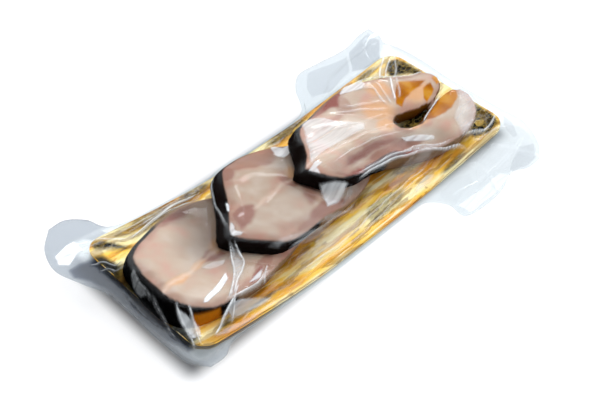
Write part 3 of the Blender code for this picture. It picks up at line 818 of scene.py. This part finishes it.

# Flat facets between the pleats, as (cloudiness, shade, width of the edge, corners), in millimetres.
# Cloudy ones are painted white, as painted highlights where the film would mirror a light and as
# whitened film. Shaded ones darken what shows through them: folds of the film, and at the near end a
# painted shadow of the card.
FACETS = [
    # Over the front slice and the web beside it.
    (0.75, 0, 0.8, [(-85, -22.5), (-87.5, -28), (-96.5, -31.5), (-107, -33.5), (-109.5, -32), (-106, -30),
     (-93.5, -26)]),
    (0.20, 0, 0.8, [(-93.5, -12), (-85.5, -12), (-78, -15), (-82, -18), (-90.5, -16)]),
    (0.30, 0, 0.8, [(-71, -11), (-72, -17), (-72.5, -23), (-77.5, -27.5), (-85, -32), (-94.5, -39),
     (-95, -37), (-89.5, -33.5), (-85, -29.5), (-76.5, -18)]),
    (0.45, 0, 0.8, [(-65.5, -31.5), (-72.5, -37), (-80, -36), (-81, -35), (-72.5, -33)]),
    (0.30, 0.25, 0.8, [(-98, -39.5), (-88, -41), (-78, -43), (-71, -45.5), (-80.5, -46), (-92.5, -45.5),
     (-101.5, -45), (-102, -42)]),
    (0.50, 0, 0.8, [(-121.5, -24), (-119, -30), (-117, -38), (-120, -43), (-125, -41), (-123.5, -33)]),
    (0.12, 0, 0.8, [(-121, 10), (-122, 3), (-124.5, -4), (-126.5, -8), (-129, -4), (-127, 3), (-124, 9)]),
    # Over the middle slice.
    (0.60, 0, 0.8, [(-52, 15), (-52, 10.5), (-57, 5), (-57, 8)]),
    (0.45, 0, 0.8, [(-62, -0.5), (-62, -4), (-64.5, -9), (-61.5, -13), (-65, -14), (-69, -11), (-68, -7)]),
    (0.35, 0, 0.8, [(9, 44), (13.5, 30.5), (8, 23), (2, 30)]),
    (0.45, 0, 2.0, [(-3, -10.5), (11, -23), (6, -24.5), (-9.5, -25), (-6, -18.5)]),
    (0.10, 0.2, 0.8, [(12.5, -23), (10.5, -26.5), (5, -26.5), (-5.5, -26), (6, -24.5)]),
    # Over the rear slice.
    (0.32, 0, 2.0, [(29.5, 35.5), (37, 38), (45, 32.5), (47.5, 23.5), (59, 9.5), (54.5, 3.5), (45, 4.5),
     (35, 6), (20.5, 5), (4, 0), (4, 3), (18.5, 21.5)]),
    (0.50, 0, 0.8, [(-3, -2), (7, 1), (9.5, -3.5), (3, -4), (1, -9.5)]),
    (0.10, 0.5, 0.8, [(22, -22.5), (37.5, -23), (52, -26), (59.5, -26), (54, -20.5), (42.5, -18.5),
     (29.5, -18)]),
    (0.35, 0, 1.2, [(65.5, -14), (75, -20.5), (81.5, -28), (79, -31), (70.5, -26), (64.5, -19)]),
    (0.26, 0, 3.0, [(122, -12), (127, -18), (123, -27), (116.5, -34), (108, -39), (98, -42), (92, -40),
     (99, -27), (109, -22)]),
    (0.50, 0, 0.8, [(91, 45), (88, 38), (86, 33.5), (81, 32), (74, 36), (67.5, 40), (76, 44)]),
    # In the web along the card's front edge.
    (0.14, 0, 2.5, [(38.5, -26.5), (51.5, -27.5), (66.5, -30), (80.5, -34.5), (67.5, -37.5), (50.5, -36),
     (35.5, -35)]),
    (0.12, 0, 2.5, [(-61, -25), (-42.5, -28), (-21.5, -31), (1, -33.5), (-7, -37), (-33, -34.5),
     (-54, -32)]),
    (0.24, 0, 1.5, [(-117, -46), (-108, -50), (-88, -50), (-72, -49), (-72, -46.5), (-92, -47),
     (-106, -45.5)]),
    (0.20, 0, 1.5, [(-40, -40), (-14, -41), (4, -39), (10, -34), (-6, -34), (-30, -35)]),
    (0.24, 0, 1.5, [(44, -47), (58, -47), (66, -44), (60, -40), (48, -42)]),
    # In the flap at the near end.
    (0.75, 0, 1.0, [(-133, 56), (-127, 56), (-127.5, 47), (-133.5, 45.5), (-141, 41), (-146, 45),
     (-143, 52)]),
    (0, 0.32, 1.0, [(-134, 68.5), (-126, 70), (-117.5, 68), (-110.5, 60.5), (-108, 50), (-118.5, 50),
     (-126, 58), (-133.5, 56.5), (-144, 52), (-140, 61)]),
    # Painted shadow of the card's raised near end, seen through the film over the floor.
    (0, 0.85, 5.0, [(-146, 41), (-135.5, 43), (-120, 38), (-119, 24), (-119, 1), (-119, -29.5), (-119, -44),
     (-132.5, -48), (-138, -33.5), (-139, -13.5), (-139, 3), (-139, 15), (-142, 23), (-148, 31)]),
    # In the flaps at the far end.
    (0.05, 0.08, 0.8, [(55.5, -54.5), (69, -54), (81, -57.5), (76.5, -66), (69.5, -65.5), (57, -67.5),
     (53, -58)]),
    (0.40, 0, 0.8, [(56, -68.5), (73.5, -70), (94, -70.5), (97.5, -76), (83.5, -79), (56.5, -78)]),
    (0.15, 0.1, 0.8, [(90.5, -54), (110, -53.5), (119.5, -62), (117, -68), (98, -71.5), (93, -69),
     (76.5, -68), (83, -59.5)]),
    (0.10, 0.20, 0.8, [(118.5, -65), (128, -71), (120, -78), (110.5, -79), (100.5, -75), (99.5, -72.5)]),
    (0.05, 0.16, 0.8, [(132, -42), (130.5, -51.5), (124.5, -60.5), (120.5, -59), (123, -51)]),
    (0.05, 0.34, 0.8, [(138, 79), (136, 66), (119, 50), (107, 50), (98, 56.5), (113, 74)]),
    (0.05, 0.28, 0.8, [(78.5, 80), (99.5, 73.5), (109.5, 71), (97, 57.5), (74.5, 54), (63, 59), (66, 67.5)]),
]
shade = np.zeros(len(places))
for cloud, dark, edge, corners in FACETS:
    share = inside(places, corners, edge * MM)
    haze_and_glare = np.maximum(haze_and_glare, cloud * share)
    shade = np.maximum(shade, dark * share)
# Fine tension lines along the card. They vary the cloud everywhere, and show most in the strips where
# the film comes down from the slices to the card's edges.
LINE_LENGTH, LINE_WIDTH, LINE_SLANT = 32 * MM, 2.4 * MM, 0.06
lines = np.array([
    noise.fractal(Vector((x / LINE_LENGTH, (y - LINE_SLANT * x) / LINE_WIDTH, 0)), 0.6, 2.0, 3)
    for x, y in places
])
flat = 1 - smoothstep(over_plan(contents), -2 * MM, 3 * MM).ravel()
front_strip = smoothstep(-places[:, 1], 16 * MM, 30 * MM) * smoothstep(places[:, 0], -100 * MM, -60 * MM)
back_strip = 1.4 * smoothstep(places[:, 1], 34 * MM, 42 * MM)
past_card = outside.ravel()
strip = flat * (past_card == 0) * (front_strip + back_strip)
haze_and_glare *= 1 + 0.35 * lines
haze_and_glare = np.maximum(haze_and_glare, 0.10 * strip * smoothstep(lines, 0.0, 0.5))
# The flaps are faintly cloudy and tinted, and painted shade darkens them most at the near end.
flap_cloud = 0.06 * smoothstep(outside, 0, 6 * MM)
haze_and_glare = np.maximum(haze_and_glare, flap_cloud.ravel())
flaps = (0.10 + 0.06 * np.clip(film_y / (50 * MM), -1, 1) + 0.28 * near).ravel()
shade = np.maximum(shade, flaps * smoothstep(past_card, 2 * MM, 8 * MM))

# The film is drawn tight to the wet skin on the slices' sides and shines less there.
slope = over_plan(np.hypot(*np.gradient(tight, GRID)))
shine = (1 - 0.93 * smoothstep(slope, 0.35, 0.9) * (outside < 3 * MM)).ravel()
shine *= 1 - (past_card < 2 * MM) * np.maximum(0.85 * crumpled_and_painted_dark(places), 0.5 * flat)
# Places where it clings to the cut faces, as (x, y, half length, half width, degrees, share).
DULL = [
    (-62, 24, 22, 16, 55, 0.6), (-26, 14, 30, 22, 10, 0.6), (-12, 38, 38, 19, 0, 0.95),
    (8, 12, 16, 10, 50, 0.9), (100, 2, 30, 16, -30, 0.8), (-48, 18, 30, 8, 52, 0.9),
]
for *spot, share in DULL:
    shine *= 1 - share * near_spot(places, spot)


def clear_film():
    """Clear packing film, smooth and glossy, with a slight tint, darkened by painted shade in folds and
    by a painted shadow of the card at the near end, and a cloud that whitens its creases and paints
    highlights.

    Where it is clear it shines as a mirror, and where it is cloudy as white plastic, which is partly a
    painted highlight.
    """
    material, tree = new_material("clear vacuum film")
    cloud, shade, shine = (
        add_node(tree, "ShaderNodeAttribute", {"attribute_name": name}).outputs["Fac"]
        for name in ("cloud", "shade", "shine")
    )
    mirror = add_node(tree, "ShaderNodeFresnel", {"IOR": 1.42}).outputs["Fac"]
    for operation, second in (("MULTIPLY", shine), ("MINIMUM", 0.16)):
        mirror = add_node(tree, "ShaderNodeMath", {"operation": operation, 0: mirror, 1: second}).outputs[0]
    share = add_node(tree, "ShaderNodeMath", {"operation": "ADD", "use_clamp": True, 0: mirror, 1: cloud})
    clearness, tint = (
        add_node(tree, "ShaderNodeValToRGB", {"Fac": pattern, "stops": stops}).outputs["Color"]
        for pattern, stops in (
            (cloud, [(0.0, 1.0), (0.12, 0.2), (0.4, 0.0)]),
            (shade, [(0.0, "#F6F9FA"), (1.0, "#1E3860")]),
        )
    )
    see_through = add_node(tree, "ShaderNodeBsdfTransparent", {"Color": tint})
    gloss = add_node(tree, "ShaderNodeBsdfPrincipled", {
        "Base Color": "#EEF2F5", "Roughness": 0.12, "Metallic": clearness,
    })
    surface = add_node(
        tree, "ShaderNodeMixShader", {0: share.outputs[0], 1: see_through.outputs[0], 2: gloss.outputs[0]}
    )
    add_node(tree, "ShaderNodeOutputMaterial", {"Surface": surface.outputs[0]})
    return material


# The back web needs a quarter of the front web's points each way, so each of the hem's faces takes
# five points of the front edge to two of the back edge.
SKIP = 4
top = np.stack([film_x, film_y, film_top + curl(film_x)], axis=-1)
under = np.stack([film_x, film_y, film_back + curl(film_x)], axis=-1)[::SKIP, ::SKIP]
top_count, (back_rows, back_columns) = ALONG * ACROSS, under.shape[:2]
top_ring = border(ALONG, ACROSS)
back_ring = [top_count + k for k in border(back_rows, back_columns)]
hem = []
for k in range(len(back_ring)):
    span = [top_ring[(SKIP * k + step) % len(top_ring)] for step in range(SKIP + 1)]
    hem.append([*span, back_ring[(k + 1) % len(back_ring)], back_ring[k]])
film_faces = [*grid_faces(ALONG, ACROSS), *grid_faces(back_rows, back_columns, top_count)[:, ::-1], *hem]
film = new_piece(
    "pouch_film", np.vstack([top.reshape(-1, 3), under.reshape(-1, 3)]), film_faces, clear_film()
)
edge_cloud = flap_cloud[::SKIP, ::SKIP].ravel()
set_attribute(film.data, "cloud", np.concatenate([haze_and_glare, edge_cloud]))
set_attribute(film.data, "shade", np.concatenate([shade, np.zeros(len(edge_cloud))]))
set_attribute(film.data, "shine", np.concatenate([shine, np.ones(len(edge_cloud))]))
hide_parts("pouch")

# The studio
# A white sweep with a painted glow past the pack, dim under it so that the pack's shadow shows near it,
# in a white room that is brightest behind the pack. A small window shows as glints in the film. The camera
# stands where the photograph's stood.
FLOOR_MIDDLE = (-3.2 * MM, 2 * MM, 0)
DIM_HALF_SIZE = (0.1255, 0.046, 0)  # of the dim part under the pack, round the floor's middle
GLOW_FADE, GLOW = 12 * MM, 0.78
floor_material, tree = new_material("white paper sweep with painted glow")
past = add_node(tree, "ShaderNodeTexCoord", {}).outputs["Object"]
for operation, second in (("ABSOLUTE", (0, 0, 0)), ("SUBTRACT", DIM_HALF_SIZE), ("MAXIMUM", (0, 0, 0))):
    past = add_node(
        tree, "ShaderNodeVectorMath", {"operation": operation, 0: past, 1: second}
    ).outputs["Vector"]
past = add_node(tree, "ShaderNodeVectorMath", {"operation": "LENGTH", 0: past}).outputs["Value"]
# The painted glow: none under the pack, rising to full over GLOW_FADE past the dim part.
glow = add_node(tree, "ShaderNodeMapRange", {
    "interpolation_type": "SMOOTHSTEP", "From Max": GLOW_FADE, "To Max": GLOW, "Value": past,
}).outputs["Result"]
floor_surface = add_node(tree, "ShaderNodeBsdfPrincipled", {
    "Base Color": "#8C8D90", "Roughness": 0.9, "Emission Color": "#FFFFFF", "Emission Strength": glow,
})
add_node(tree, "ShaderNodeOutputMaterial", {"Surface": floor_surface.outputs[0]})
bpy.ops.mesh.primitive_plane_add(size=8)
floor = bpy.context.object
floor.name = "floor"
floor.data.materials.append(floor_material)
floor.location = FLOOR_MIDDLE

# The window and the key stand behind the pack, and the weaker fill to its right. Only the window is
# mirrored.
for name, place, size, power, mirrored in (
    ("window", (0.855, 0.811, 0.55), (0.14, 0.12), 0.49, True),
    ("key", (0.80, 0.60, 0.62), (0.5, 0.5), 4.4, False),
    ("overhead", (0.25, 0.25, 1.2), (1.0, 1.0), 5.8, False),
    ("fill", (0.3, -0.9, 0.5), (0.5, 0.5), 3.6, False),
):
    lamp = bpy.data.lights.new(name, "AREA")
    lamp.shape = "RECTANGLE"
    lamp.size, lamp.size_y = size
    lamp.energy = power
    light = bpy.data.objects.new(name, lamp)
    light.location = place
    light.rotation_euler = Vector(place).to_track_quat("Z", "Y").to_euler()
    light.visible_glossy = mirrored
    bpy.context.scene.collection.objects.link(light)

# The room is bright behind the pack and dim on the camera's side. BANDS pairs the height of a
# direction, 0 at the horizon and 1 overhead, with its brightness, and the dark band among them gives
# the foil and the film something dark to mirror.
BRIGHTEST, DIM_SIDE, ROOM_STRENGTH = (0.80, 0.60, 0.25), 0.30, 2.75
BANDS = [
    (0.0, 0.35), (0.40, 0.52), (0.50, 0.54), (0.57, 0.66),
    (0.74, 0.68), (0.79, 0.22), (0.90, 0.22), (0.96, 0.60),
]
world = bpy.data.worlds.new("white room")
world.use_nodes = True
tree = world.node_tree
direction = add_node(tree, "ShaderNodeTexCoord", {}).outputs["Generated"]
upward = add_node(tree, "ShaderNodeSeparateXYZ", {0: direction}).outputs["Z"]
behind = add_node(
    tree, "ShaderNodeVectorMath", {"operation": "DOT_PRODUCT", 0: direction, 1: BRIGHTEST}
).outputs["Value"]
bands = add_node(tree, "ShaderNodeValToRGB", {
    "Fac": upward, "stops": [(place, (grey * 0.97, grey, grey * 1.03, 1)) for place, grey in BANDS],
}).outputs["Color"]
sides = add_node(tree, "ShaderNodeMapRange", {
    "From Min": -0.35, "From Max": 0.45, "To Min": DIM_SIDE, "To Max": 1.0, "Value": behind,
}).outputs["Result"]
light = add_node(
    tree, "ShaderNodeVectorMath", {"operation": "SCALE", 0: bands, "Scale": sides}
).outputs["Vector"]
sky = tree.nodes["Background"]
tree.links.new(light, sky.inputs["Color"])
sky.inputs["Strength"].default_value = ROOM_STRENGTH
bpy.context.scene.world = world
bpy.context.scene.view_settings.view_transform = "Standard"

# Fitted to the card's corners and long edges in the photograph, with the lens assumed.
AZIMUTH, ELEVATION, DISTANCE, LENS = math.radians(-44.80), math.radians(46.46), 0.62524, 63
TARGET = Vector((-0.00583, 0.00092, 0))
backwards = Vector((
    math.sin(AZIMUTH) * math.cos(ELEVATION),
    -math.cos(AZIMUTH) * math.cos(ELEVATION),
    math.sin(ELEVATION),
))
camera = bpy.data.objects.new("camera", bpy.data.cameras.new("camera"))
camera.data.lens = LENS
camera.location = TARGET + backwards * DISTANCE
camera.rotation_euler = backwards.to_track_quat("Z", "Y").to_euler()
bpy.context.scene.collection.objects.link(camera)
bpy.context.scene.camera = camera

bpy.context.view_layer.update()
